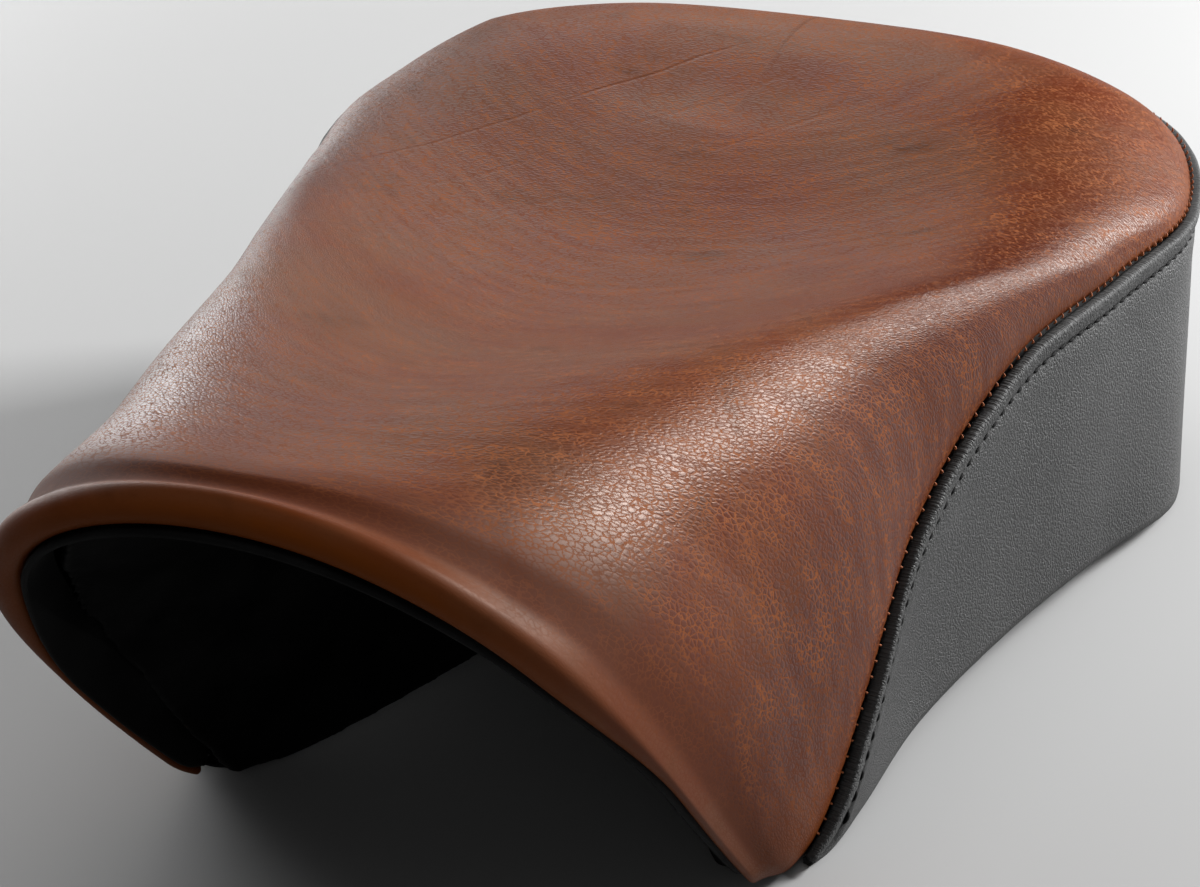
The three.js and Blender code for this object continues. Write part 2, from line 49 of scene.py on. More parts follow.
# ---- driving outline, in millimetres: right half from the leg tip round to the middle of the tail
EDGE = [[75, -97, 4], [80, -85, 2], [84, -74, 9], [89, -55, 37], [92, -24, 68], [103, 29, 90],
        [117, 83, 93], [126, 138, 93], [110, 190, 96], [67, 221, 98], [0, 229, 97]]
HEM = [[74, -96, 1.5], [79, -84, -0.5], [84, -71, 0], [87, -52, 2], [91, -17, 6], [102, 33, 8],
       [116, 86, 7], [128, 139, 2], [112, 190, 0], [67, 221, 0], [0, 228, 0]]
SPINE = [[0, -222, 157], [0, -208, 155], [0, -190, 151], [0, -164, 147], [0, -134, 141],
         [0, -89, 129], [0, -38, 116], [0, 24, 110], [0, 96, 115]]
SHIFT = np.array([0, -1.9, 0.13])
LAST = 10
POLE_RIB = 8
RIB_X_POWER = (0.95, 0.58)
RIB_Z_POWER = (0.47, 0.76)
RAKED_RIBS = 4
RAKE_POWER = 1.25
PLAN_POWER = 1.7
TAIL_CREST = 8.5
TAIL_ARC = 0.83

# ---- skins and seams
LEATHER = 2.2
VINYL = 1.6
COVER_RIBS = 380
RIB_POINTS = 70
NEAR_EDGE = [12, 10, 8.4, 7, 5.8, 4.8, 3.9, 3.1, 2.4, 1.8, 1.3, 0.8, 0.35, 0]
TUCK_SPAN = 14
TIP_TUCK = 2
SEAM_TUCK = 1.4
GROOVE_DEPTH = 1.6
GROOVE_AT = 0.33
GROOVE_WIDTH = 0.42
ROLL_R = 4.2
LEG_ROLL_R = 1.3
ROLL_STEPS = 14
FLAP = 9
TRIM_T = 3.8
TRIM_REACH = 3.0
BAND_W = 7.0
GAP = 0.3
HEM_FLAP = 13
SKIRT_START = 1.95
TAPER_START = 1.42
STITCH_PITCH = 5.0
POINT_PITCH = 4.0
LIP_SHARE = 0.7             # most of the lip's radius that its leather takes up
FLAP_STEPS = 5
LIP_GRAIN_STEP = 1.1
LEG_Z = (62, 118)           # the lip and its strip change between these heights
GROOVE_Z = (108, 140)
LEG_GROOVE = 0.12
TUCK_RIBS = (1.2, 2)
EDGE_DIP = 0.8
EDGE_DIP_SPAN = 2.2
PUCKER = 0.12
PUCKER_SPAN = 3.2
EASE = 0.3
EASE_AT = 9
TIP_SPAN = 20
LIP_FADE = 0.36
ARC_RIBS = (4.5, 7.5)
CREST_RIBS = (4, 8.5)
RIB_SAMPLES = 400
SEAM_SAMPLES = 4000
STEP = 0.02                 # half step, in ribs, for directions along a curve
UP = np.array([0, 0, 1.0])
FLOOR_GAP = 0.02

# ---- wall, band, strip and bead
BAND_SHARE = 0.62           # share of the room under the seam that the band may fill
BAND_LEAST = 0.2
BAND_FLAT = 0.45
BAND_SWAY = 0.3
WALL_ROWS = 46
WALL_CROWD = 1.25           # over 1 crowds the rows towards the seam
WALL_PUFF = 0.45
WALL_SINK = 0.35
WALL_WAVE = 0.35
HEM_ROWS = 10
HEM_RIPPLE = 0.125
HEM_LIFT = 0.2
TRIM_TAPER = (2, 16)        # columns from each end
TRIM_SHARP = 50
BEAD_GAP = 0.12
BEAD_LEAST = 0.2
BEAD_SIDES = 16

# ---- threads and staples
THREAD_END = 3              # higher is blunter
THREAD_END_MIN = 0.04
STITCH_GAP = 0.95
STITCH_POINTS = 7
STITCH_BOW = 0.30
STITCH_LIFT = 0.22
STITCH_R = 0.52
STITCH_START = SKIRT_START + 0.15
POINT_STEPS = 6
POINT_BOW = 0.5
POINT_R = 0.28
STAPLE_PITCH = 21
STAPLE_INSET = 8
STAPLE_W = 9
STAPLE_START = 3.3
STAPLE_POINTS = 11
STAPLE_LIFT = 0.4
STAPLE_LEG = 1.3
STAPLE_R = 0.36


def lerp(a, b, k):
    return a + (b - a) * k


def smooth(x, low, high):
    k = np.clip((np.asarray(x, float) - low) / (high - low), 0, 1)
    return k * k * (3 - 2 * k)


def unit(v):
    return v / np.maximum(np.linalg.norm(v, axis=-1, keepdims=True), 1e-12)


def spline(points, u):
    """Centripetal Catmull-Rom curve through points, at u from 0 to 1."""
    p = np.asarray(points, float)
    p = np.vstack([2 * p[0] - p[1], p, 2 * p[-1] - p[-2]])
    count = len(p) - 3
    x = np.clip(np.atleast_1d(u), 0, 1) * count
    k = np.minimum(x.astype(int), count - 1)
    w = (x - k)[:, None]
    a, b, c, d = p[k], p[k + 1], p[k + 2], p[k + 3]
    gap = [np.sqrt(np.linalg.norm(q - r, axis=1))[:, None] for q, r in ((a, b), (b, c), (c, d))]
    m1 = ((b - a) / gap[0] - (c - a) / (gap[0] + gap[1]) + (c - b) / gap[1]) * gap[1]
    m2 = ((c - b) / gap[1] - (d - b) / (gap[1] + gap[2]) + (d - c) / gap[2]) * gap[1]
    return (b + m1 * w + (3 * (c - b) - 2 * m1 - m2) * w ** 2 + (2 * (b - c) + m1 + m2) * w ** 3)


def loop(table):
    half = np.asarray(table, float)
    return np.vstack([half, half[-2::-1] * [-1, 1, 1]])


EDGE_LOOP = loop(EDGE)
HEM_LOOP = loop(HEM)


def edge_at(t):
    return spline(EDGE_LOOP, np.asarray(t, float) / (2 * LAST))


def hem_at(t):
    return spline(HEM_LOOP, np.asarray(t, float) / (2 * LAST))


def rib_points(t, v):
    """Points of rib t from the spine, v = 0, to the leather's edge, v = 1."""
    edge = edge_at([t])[0]
    top = spline(SPINE, [min(t, POLE_RIB) / POLE_RIB])[0]
    k = t / LAST
    full = lerp(1, TAIL_ARC, smooth(t, *ARC_RIBS)) * math.pi / 2
    drop_power = lerp(*RIB_Z_POWER, k)
    foot = max(math.cos(full), 0) ** drop_power
    across = (np.sin(v * full) / math.sin(full)) ** lerp(*RIB_X_POWER, k)
    drop = (np.maximum(np.cos(v * full), 0) ** drop_power - foot) / (1 - foot)
    rake = max(0, 1 - t / RAKED_RIBS)
    along = rake * (1 - drop) ** RAKE_POWER + (1 - rake) * across ** PLAN_POWER
    crest = TAIL_CREST * smooth(t, *CREST_RIBS) * np.sin(math.pi * v) ** 2
    x = edge[0] * across * (0 if t >= LAST else 1)
    return np.stack([x, lerp(top[1], edge[1], along), lerp(edge[2], top[2], drop) + crest], axis=1)


def rib_row(t):
    """Evenly spaced points of one rib, closer near the edge, and their distances from the spine."""
    fine = rib_points(t, 1 - (1 - np.linspace(0, 1, RIB_SAMPLES)) ** 2)
    run = np.concatenate([[0], np.cumsum(np.linalg.norm(np.diff(fine, axis=0), axis=1))])
    total = run[-1]
    wanted = np.concatenate([np.linspace(0, total - TUCK_SPAN, RIB_POINTS), total - np.array(NEAR_EDGE)])
    points = np.stack([np.interp(wanted, run, fine[:, k]) for k in range(3)], axis=1)
    return points, wanted, total - wanted


# ---- mesh helpers
def grid_faces(rows, columns):
    """Quads of a grid, wound so that the right-hand normal is (column step) x (row step)."""
    a = (np.arange(rows - 1)[:, None] * columns + np.arange(columns - 1)[None, :]).ravel()
    return np.stack([a, a + 1, a + 1 + columns, a + columns], axis=1)


def welded(points, faces, grid=1e-3):
    """Joins points closer than a micrometre and drops the faces that vanish."""
    _, first, slot = np.unique(np.round(points / grid).astype(np.int64), axis=0,
                               return_index=True, return_inverse=True)
    slot = slot.ravel()
    kept = []
    for face in slot[faces]:
        ring = [k for i, k in enumerate(face) if k != face[i - 1]]
        if len(ring) > 2 and len(set(ring)) == len(ring):
            kept.append(ring)
    return points[first], kept, slot


def vertex_normals(points, faces):
    """Area-weighted normals of a mesh of triangles and quads."""
    out = np.zeros_like(points)
    for size in (3, 4):
        picked = np.array([f for f in faces if len(f) == size])
        if len(picked) == 0:
            continue
        p = points[picked]
        n = np.cross(p[:, 2] - p[:, 0], p[:, 3 % size] - p[:, 1]) if size == 4 else np.cross(
            p[:, 1] - p[:, 0], p[:, 2] - p[:, 0])
        for k in range(size):
            np.add.at(out, picked[:, k], n)
    return unit(out)


def new_object(name, points, faces, attributes=None, flat_angle=None):
    """Mesh object from points in millimetres, before SHIFT, with point attributes."""
    mesh = bpy.data.meshes.new(name)
    mesh.from_pydata(((np.asarray(points) + SHIFT) * MM).tolist(), [], [list(map(int, f)) for f in faces])
    mesh.validate()
    for key, values in (attributes or {}).items():
        values = np.asarray(values, np.float32)
        kind = "FLOAT_VECTOR" if values.ndim == 2 else "FLOAT"
        layer = mesh.attributes.new(key, kind, "POINT")
        layer.data.foreach_set("vector" if values.ndim == 2 else "value", values.ravel())
    mesh.shade_smooth()
    if flat_angle is not None:
        mesh.set_sharp_from_angle(angle=math.radians(flat_angle))
    out = bpy.data.objects.new(name, mesh)
    bpy.context.scene.collection.objects.link(out)
    return out


def open_edges(faces):
    seen = {}
    for f in faces:
        for i, k in enumerate(f):
            seen[(k, f[(i + 1) % len(f)])] = True
    return [(a, b) for a, b in seen if (b, a) not in seen]


def shell(points, faces, thick, attributes):
    """Closed skin: the given outer surface, its inner offset and the rim between them."""
    count = len(points)
    inner = points - vertex_normals(points, faces) * np.reshape(thick, (-1, 1))
    all_faces = list(faces) + [[k + count for k in reversed(f)] for f in faces]
    for a, b in open_edges(faces):
        all_faces.append([b, a, a + count, b + count])
    doubled = {k: np.concatenate([v, v]) for k, v in attributes.items()}
    return np.vstack([points, inner]), all_faces, doubled


def ring_faces(count, ring):
    """Faces of a tube of count rings, each of ring points, with both ends closed."""
    faces = []
    for i in range(count - 1):
        for j in range(ring):
            a, b = i * ring + j, i * ring + (j + 1) % ring
            faces.append([a, a + ring, b + ring, b])
    faces.append(list(range(ring)))
    faces.append([(count - 1) * ring + j for j in reversed(range(ring))])
    return faces


def tubes(paths, radius, sides=8):
    """Round-ended threads along short paths, all in one mesh."""
    points, faces = [], []
    turn = np.linspace(0, 2 * math.pi, sides, endpoint=False)
    for path, side, up in paths:
        base = len(points)
        count = len(path)
        for i, p in enumerate(path):
            k = i / (count - 1)
            r = radius * math.sqrt(max(1 - abs(2 * k - 1) ** THREAD_END, THREAD_END_MIN))
            for a in turn:
                points.append(p + side[i] * r * math.cos(a) + up[i] * r * math.sin(a))
        faces += [[base + k for k in face] for face in ring_faces(count, sides)]
    return np.array(points), faces


# ---- leather top
def roll_radius(row):
    """Radius of the rolled lip: full over the arch, small down the legs."""
    return lerp(LEG_ROLL_R, ROLL_R, smooth(row[:, 2:], *LEG_Z))


def build_leather():
    stations = np.linspace(0, LAST, COVER_RIBS)
    rows, spans, nears = zip(*[rib_row(t) for t in stations])
    rows, spans, nears = map(np.array, (rows, spans, nears))

    def whole(values, sign=None):
        mirror = values[:, :0:-1]
        if sign is not None:
            mirror = mirror * sign
        return np.concatenate([mirror, values], axis=1)

    flip = np.array([-1, 1, 1])
    plain = whole(rows, flip)
    count, width = plain.shape[:2]
    span = whole(spans, -1)
    near = whole(nears)
    station = np.repeat(stations[:, None], width, axis=1)
    raw = grid_faces(count, width)
    points, faces, slot = welded(plain.reshape(-1, 3), raw)
    normal = vertex_normals(points, faces)[slot].reshape(count, width, 3)

    run = np.concatenate([[0], np.cumsum(np.linalg.norm(np.diff(edge_at(stations), axis=0), axis=1))])
    phase = np.repeat(run[:, None], width, axis=1)
    groove = GROOVE_DEPTH * np.maximum(0, 1 - ((station - GROOVE_AT) / GROOVE_WIDTH) ** 2) ** 2
    groove *= lerp(LEG_GROOVE, 1, smooth(plain[..., 2], *GROOVE_Z))
    tuck = lerp(TIP_TUCK, SEAM_TUCK, smooth(station, *TUCK_RIBS))
    pull = groove + tuck * np.clip(1 - near / TUCK_SPAN, 0, 1) ** 2
    pull += EDGE_DIP * smooth(station, 1.6, 2.6) * np.clip(1 - near / EDGE_DIP_SPAN, 0, 1) ** 2
    pucker = np.cos(2 * math.pi * phase / POINT_PITCH) * np.exp(-(near / PUCKER_SPAN) ** 2)
    pull += PUCKER * pucker * smooth(station, 1.9, 2.4)
    ease = 0.35 * np.sin(phase / 9.1) + 0.3 * np.sin(phase / 5.3 + 2)
    pull += EASE * ease * np.exp(-((near - EASE_AT) / EASE_AT) ** 2) * smooth(station, 1.9, 3.2)
    sunk = plain - normal * pull[..., None]

    # rolled lip in front of the first rib
    row = sunk[0]
    ahead = np.vstack([row[1:], row[-1:]])
    behind = np.vstack([row[:1], row[:-1]])
    along = unit(ahead - behind)
    out = normal[0] - along * (normal[0] * along).sum(1, keepdims=True)
    out = unit(out)
    forward = unit(np.cross(out, along))
    forward *= np.where(forward[:, 1:2] > 0, -1, 1)
    middle = width // 2
    forward[middle, 0] = 0
    out[middle, 0] = 0

    roll = roll_radius(row)

    def lip(deep, reach):
        return row - out * deep + forward * reach

    lips = [lip(2 * roll, -FLAP * k / FLAP_STEPS) for k in range(FLAP_STEPS, 0, -1)]
    for k in range(ROLL_STEPS, 0, -1):
        a = math.pi * k / ROLL_STEPS
        lips.append(lip(roll * (1 - math.cos(a)), roll * math.sin(a)))
    lips = np.array(lips)
    full = np.concatenate([lips, sunk])
    extra = len(lips)

    def extend(values):
        return np.concatenate([np.repeat(values[:1], extra, axis=0), values])

    lip_run = np.linspace(-extra * LIP_GRAIN_STEP, 0, extra, endpoint=False)
    spine_y = spline(SPINE, np.minimum(stations, POLE_RIB) / POLE_RIB)[:, 1]
    lane = 0.5 * (spine_y + edge_at(stations)[:, 1])
    lane = np.concatenate([lane[0] + lip_run, lane])[:, None] * np.ones((1, width))
    grain = np.stack([lane, extend(span), np.zeros_like(lane)], axis=-1)
    # zones that the leather's material reads
    tail = smooth(extend(station), 4.4, 6.4)
    share = np.abs(span) / (np.abs(span) + near)
    # painted shade down the flanks, darker where the sides turn away from the light
    flank_shade = smooth(share, 0.50, 0.78) * (1 - smooth(station, 5.5, 8))
    flank_shade = extend(flank_shade * smooth(station, 0.2, 0.8))
    tip = np.exp(-(near / TIP_SPAN) ** 2) * (1 - smooth(station, 0.5, 1.9))
    front = np.maximum(np.exp(-(station / LIP_FADE) ** 2), 0.9 * tip)
    rolled = np.concatenate([np.ones((extra, width)), front])
    # painted shade in the groove behind the lip, kept as the fold attribute, which also roughens and calms
    # the grain there
    shade = np.exp(-(np.maximum(station - 0.42, 0) / 0.75) ** 2) * smooth(station, 0.12, 0.34)
    shade *= lerp(0.8, 1, smooth(plain[..., 2], 60, 120)) * (1 - tip)
    fold = np.concatenate([np.zeros((extra, width)), shade])
    seam = np.exp(-(extend(near) / 5) ** 1.3) * smooth(extend(station), 0.6, 2.2)
    around = math.pi * np.concatenate([np.ones(FLAP_STEPS), np.arange(ROLL_STEPS, 0, -1) / ROLL_STEPS])
    seam[:extra] = smooth(around, 0.7, 1.7)[:, None]
    rim = np.minimum(LEATHER, LIP_SHARE * roll[:, 0])
    thick = np.concatenate([np.repeat(rim[None, :], extra, axis=0),
                            lerp(rim, LEATHER, smooth(station, 0, 0.5))])
    raw = grid_faces(len(full), width)
    points, faces, slot = welded(full.reshape(-1, 3), raw)
    _, first = np.unique(slot, return_index=True)
    attributes = {
        "grain": grain.reshape(-1, 3)[first] * MM,
        "rolled": rolled.ravel()[first],
        "fold": fold.ravel()[first],
        "tail": tail.ravel()[first],
        "flank_shade": flank_shade.ravel()[first],
        "seam": seam.ravel()[first],
    }
    body = shell(points, faces, thick.ravel()[first], attributes)
    leather = new_object("leather_top", *body)
    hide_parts("leather_cover")
    return leather, (row, out, forward)


# ---- frames along the seam and the wall
def seam_frames(spacing):
    """Stations along the seam, spacing millimetres apart: t, distance, edge, along, out, down."""
    fine = np.linspace(TAPER_START, 2 * LAST - TAPER_START, SEAM_SAMPLES)
    line = edge_at(fine)
    run = np.concatenate([[0], np.cumsum(np.linalg.norm(np.diff(line, axis=0), axis=1))])
    distance = np.linspace(0, run[-1], int(run[-1] / spacing) | 1)
    t = np.interp(distance, run, fine)
    at = edge_at(t)
    along = unit(edge_at(t + STEP) - edge_at(t - STEP))
    flat = unit(np.stack([-along[:, 1], along[:, 0], np.zeros(len(t))], axis=1))
    down = unit(np.cross(along, flat))
    down *= np.where(down[:, 2:] < 0, 1, -1)
    return t, distance, at, along, -flat, down


def hem_line(t):
    """Points of the hem, kept off the floor, and the level direction into the underside."""
    low = hem_at(t)
    low[:, 2] = np.maximum(low[:, 2], FLOOR_GAP - SHIFT[2])
    along = hem_at(t + STEP) - hem_at(t - STEP)
    return low, unit(np.stack([-along[:, 1], along[:, 0], np.zeros(len(t))], axis=1))


def stitch_dip(distance, pitch, sharp):
    """0 in the middle of a stitch and 1 at the hole between two."""
    return np.abs(np.cos(math.pi * distance / pitch)) ** sharp


def band_scale(t, at, down):
    """Share of the band's full width: it runs out where the seam meets the hem at the leg's tip."""
    room = ((hem_at(t) - at) * down).sum(axis=1)
    return np.clip(BAND_SHARE * room / BAND_W, BAND_LEAST, 1)[:, None]


def build_wall():
    t, distance, at, _, out, down = seam_frames(1.0)
    top = at + down * (BAND_W + 1.2 * GAP) * band_scale(t, at, down)
    low, inward = hem_line(t)
    side = np.minimum(t, 2 * LAST - t)
    height = np.linalg.norm(low - top, axis=1)
    rows = []
    dip = stitch_dip(distance, STITCH_PITCH, 10)
    for k in np.linspace(0, 1, WALL_ROWS) ** WALL_CROWD:
        d = k * height
        puff = WALL_PUFF * np.exp(-((d - 5) / 5) ** 2) - WALL_SINK * np.exp(-(d / 1.6) ** 2)
        puff += 0.16 * dip * np.exp(-(d / 1.8) ** 2)
        fade = np.clip((1 - k) * height / 3, 0, 1)
        wave = WALL_WAVE * np.sin(distance / 31 + 1.3 * k) * np.sin(math.pi * k)
        rows.append(lerp(top, low, k) + out * ((puff + wave) * fade)[:, None])
    reach = HEM_FLAP * smooth(side, 1.9, 3.2) + 2
    for k in np.linspace(0.1, 1, HEM_ROWS):
        ripple = HEM_RIPPLE * np.sin(distance / 3.7) * np.sin(math.pi * k)
        lift = HEM_LIFT + ripple * smooth(side, 2.5, 4)
        rows.append(low + inward * (reach * k)[:, None] + UP * lift[:, None])
    grid = np.array(rows).transpose(1, 0, 2)
    count, width = grid.shape[:2]
    depth = np.concatenate([[0], np.cumsum(np.linalg.norm(np.diff(grid[count // 2], axis=0), axis=1))])
    depth = np.repeat(depth[None, :], count, axis=0)
    lane = np.repeat(distance[:, None], width, axis=1)
    grain = np.stack([lane, depth, np.zeros_like(lane)], axis=-1).reshape(-1, 3) * MM
    points = grid.reshape(-1, 3)
    faces = [list(f) for f in grid_faces(count, width)]
    n = vertex_normals(points, faces)
    middle = (count // 2) * width + width // 4
    if n[middle][1] < 0:
        faces = [f[::-1] for f in faces]
    body = shell(points, faces, VINYL, {"grain": grain})
    wall = new_object("vinyl_wall", *body)
    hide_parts("side_skirt")
    return wall


# across the band, from the leather's edge down, and out from the seam
BAND_PROFILE = [(1.0, -1.6), (0.7, -0.6), (0.66, 0.5), (0.8, 1.15), (1.15, 1.6), (1.7, 1.8), (2.4, 1.8),
                (3.1, 1.66), (3.9, 1.46), (4.7, 1.24), (5.4, 0.98), (6.0, 0.68), (6.45, 0.32), (6.8, 0.02),
                (7.1, -0.18), (7.3, -0.3), (7.3, -0.9), (7.3, -1.6), (3.6, -1.6)]


def build_band():
    t, distance, at, _, out, down = seam_frames(0.9)
    dip = stitch_dip(distance, STITCH_PITCH, 8)
    wander = 0.10 * np.sin(distance / 6.3) + 0.07 * np.sin(distance / 2.9 + 1)
    scale = band_scale(t, at, down)
    side = np.minimum(t, 2 * LAST - t)
    calm = smooth(side, 1.9, 2.6)
    grid = []
    for across, high in BAND_PROFILE:
        lower = max(0, min(1, (across - 5.2) / 1.5)) if high > -0.5 else 0
        upper = 1 if high > 0.9 else 0
        lift = high + (0.55 * dip * lower + wander * upper) * calm
        lift = np.where(lift > 0, lift * lerp(BAND_FLAT, 1, scale[:, 0]), lift)
        across = across + BAND_SWAY * wander * upper * calm
        grid.append(at + down * across[:, None] * scale + out * lift[:, None])
    grid = np.array(grid).transpose(1, 0, 2)
    count, width = grid.shape[:2]
    lane = np.repeat(distance[:, None], width, axis=1)
    ring = np.repeat(np.array([p[0] for p in BAND_PROFILE])[None, :], count, axis=0)
    grain = np.stack([lane, ring, np.zeros_like(lane)], axis=-1).reshape(-1, 3) * MM
    band = new_object("seam_fold", grid.reshape(-1, 3), ring_faces(count, width), {"grain": grain})
    fix_normals(band)
    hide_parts("seam_band")
    return band


def fix_normals(thing):
    """Turns every face of a closed mesh outwards."""
    mesh = bmesh.new()
    mesh.from_mesh(thing.data)
    bmesh.ops.recalc_face_normals(mesh, faces=mesh.faces)
    mesh.to_mesh(thing.data)
    mesh.free()


def sampled(spots, distance, values):
    """Rows of values at the given distances."""
    return np.stack([np.interp(spots, distance, values[:, i]) for i in range(3)], axis=1)


def build_topstitch():
    """Dark thread dashes along the lower side of the band."""
    t, distance, at, _, out, down = seam_frames(0.25)
    paths = []
    for k in range(int(distance[-1] / STITCH_PITCH)):
        start = k * STITCH_PITCH + STITCH_GAP
        spots = np.linspace(start, start + STITCH_PITCH - 2 * STITCH_GAP, STITCH_POINTS)
        line, o, d = (sampled(spots, distance, values) for values in (at, out, down))
        o, d = unit(o), unit(d)
        rise = STITCH_LIFT + STITCH_BOW * np.sin(np.linspace(0, math.pi, STITCH_POINTS))
        where = np.interp(spots[STITCH_POINTS // 2], distance, t)
        if min(where, 2 * LAST - where) < STITCH_START:
            continue
        paths.append((line + d * (BAND_W - 0.1) + o * rise[:, None], d, o))
    points, faces = tubes(paths, STITCH_R)
    thread = new_object("band_stitches", points, faces)
    fix_normals(thread)
    return thread


def build_seam_points():
    """Short tan threads that come out of the leather's edge and cross into the seam."""
    _, distance, at, along, out, down = seam_frames(0.25)
    paths = []
    steps = np.linspace(0, 1, POINT_STEPS)
    for k in range(1, int(distance[-1] / POINT_PITCH)):
        i = np.argmin(np.abs(distance - (k + 0.5) * POINT_PITCH))
        o, d = out[i], down[i]
        surface = unit(d * 0.35 + o)
        start = at[i] - d * 1.4 - o * 1.2
        end = at[i] + d * 0.3 - o * 1.75
        path = lerp(start, end, steps[:, None]) + surface * (POINT_BOW * np.sin(math.pi * steps))[:, None]
        side = np.repeat(along[i][None], POINT_STEPS, axis=0)
        up = np.repeat(unit(np.cross(along[i], unit(end - start)))[None], POINT_STEPS, axis=0)
        paths.append((path, side, up))
    points, faces = tubes(paths, POINT_R, sides=6)
    thread = new_object("seam_points", points, faces)
    fix_normals(thread)
    return thread


def build_staples():
    """Staples through the vinyl hem, round the underside."""
    t = seam_frames(0.5)[0]
    low, inward = hem_line(t)
    lane = low + inward * STAPLE_INSET
    run = np.concatenate([[0], np.cumsum(np.linalg.norm(np.diff(lane, axis=0), axis=1))])
    paths = []
    for centre in np.arange(STAPLE_PITCH, run[-1] - STAPLE_PITCH / 2, STAPLE_PITCH):
        where = np.interp(centre, run, t)
        if min(where, 2 * LAST - where) < STAPLE_START:
            continue
        spots = np.linspace(-STAPLE_W / 2, STAPLE_W / 2, STAPLE_POINTS)
        line = sampled(centre + spots, run, lane)
        line[:, 2] += STAPLE_LIFT + STAPLE_LEG * smooth(np.abs(spots), STAPLE_W / 2 - 0.9, STAPLE_W / 2)
        side = np.repeat(unit(np.cross(line[-1] - line[0], UP))[None], STAPLE_POINTS, axis=0)
        up = np.repeat(UP[None], STAPLE_POINTS, axis=0)
        paths.append((line, side, up))
    points, faces = tubes(paths, STAPLE_R)
    staples = new_object("hem_staples", points, faces)
    fix_normals(staples)
    return staples


def build_trim(lip_frame):
    """Black strip under the lip, wider and set back down the legs."""
    row, out, forward = lip_frame
    roll = roll_radius(row)
    leg = 1 - smooth(row[:, 2:], *LEG_Z)
    near = 2 * roll + GAP
    far = 2 * ROLL_R + GAP + TRIM_T * lerp(0.5, 1, leg)
    column = np.arange(len(row))
    ends = smooth(np.minimum(column, len(row) - 1 - column), *TRIM_TAPER)[:, None]
    far = near + (far - near) * lerp(0.75, 1, ends)
    tip = TRIM_REACH - 0.6 * leg - 2 * (1 - ends)
    back = 1.5 + 6 * leg
    profile = [(near, -FLAP - 1), (near, -5), (near, tip - 1.2), (near + 0.25, tip - 0.4),
               (near + 0.8, tip), (near + 1.3, tip - 0.1), (near + 1.8, tip - 0.5),
               (far - 0.1, tip - back), (far, tip - back - 0.6), (far, -FLAP + 0.6),
               (far - 0.5, -FLAP - 0.4), (far - 1.2, -FLAP - 1)]
    grid = np.array([row - out * deep + forward * reach for deep, reach in profile])
    grid = grid.transpose(1, 0, 2)[1:-1]
    strip = new_object("lip_strip", grid.reshape(-1, 3), ring_faces(*grid.shape[:2]), flat_angle=TRIM_SHARP)
    fix_normals(strip)
    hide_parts("nose_trim")
    return strip


def build_bead(lip_frame):
    """Plastic bead inside the rolled lip."""
    row, out, forward = lip_frame
    roll = roll_radius(row)
    middle = row - out * roll
    radius = np.maximum(roll - np.minimum(LEATHER, LIP_SHARE * roll) - BEAD_GAP, BEAD_LEAST)
    turn = np.linspace(0, 2 * math.pi, BEAD_SIDES, endpoint=False)
    grid = np.array([middle + (out * math.cos(a) + forward * math.sin(a)) * radius for a in turn])
    grid = grid.transpose(1, 0, 2)[3:-3]
    bead = new_object("lip_core", grid.reshape(-1, 3), ring_faces(*grid.shape[:2]))
    fix_normals(bead)
    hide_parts("lip_bead")
    return bead


# ---- hidden and underside parts, rounded from their CAD nodes
# node: name of its copy, voxel size in metres, smoothing rounds
SOFT = {"base_pan": ("pan_shell", 0.00105, 6), "foam_cushion": ("foam_block", 0.0025, 8),
        "comfort_pad": ("gel_insert", 0.0016, 8)}
PLATES = ("bracket", "cross_bar")
PLATE_BEVEL = 0.0005
SMALL = ("screw", "washer", "bumper", "rivet", "grommet")
SMALL_BEVEL = 0.0003
BEVEL_ANGLE = math.radians(40)
WELD = 0.00001


def rounded_copy(node, name, voxel=None, rounds=0, bevel=None):
    """Finished copy of a CAD node: remeshed and smoothed, or with bevelled edges."""
    source = NODES[node]
    piece = bpy.data.objects.new(name, source.data.copy())
    piece.matrix_world = source.matrix_world.copy()
    bpy.context.scene.collection.objects.link(piece)
    if voxel:
        change = piece.modifiers.new("remesh", "REMESH")
        change.mode = "VOXEL"
        change.voxel_size = voxel
        change = piece.modifiers.new("smooth", "SMOOTH")
        change.iterations = rounds
    else:
        change = piece.modifiers.new("weld", "WELD")
        change.merge_threshold = WELD
        change = piece.modifiers.new("bevel", "BEVEL")
        change.width = bevel
        change.segments = 2
        change.limit_method = "ANGLE"
        change.angle_limit = BEVEL_ANGLE
    bpy.context.view_layer.update()
    made = bpy.data.meshes.new_from_object(piece.evaluated_get(bpy.context.evaluated_depsgraph_get()))
    piece.modifiers.clear()
    piece.data = made
    made.shade_smooth()
    if not voxel:
        made.set_sharp_from_angle(angle=BEVEL_ANGLE)
    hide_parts(node)
    return piece


def build_copies():
    pieces = {}
    for node in NODES:
        if node in SOFT:
            name, voxel, rounds = SOFT[node]
            pieces[node] = rounded_copy(node, name, voxel=voxel, rounds=rounds)
        elif any(word in node for word in PLATES):
            pieces[node] = rounded_copy(node, node + "_finished", bevel=PLATE_BEVEL)
        elif any(word in node for word in SMALL):
            pieces[node] = rounded_copy(node, node + "_finished", bevel=SMALL_BEVEL)
    return pieces


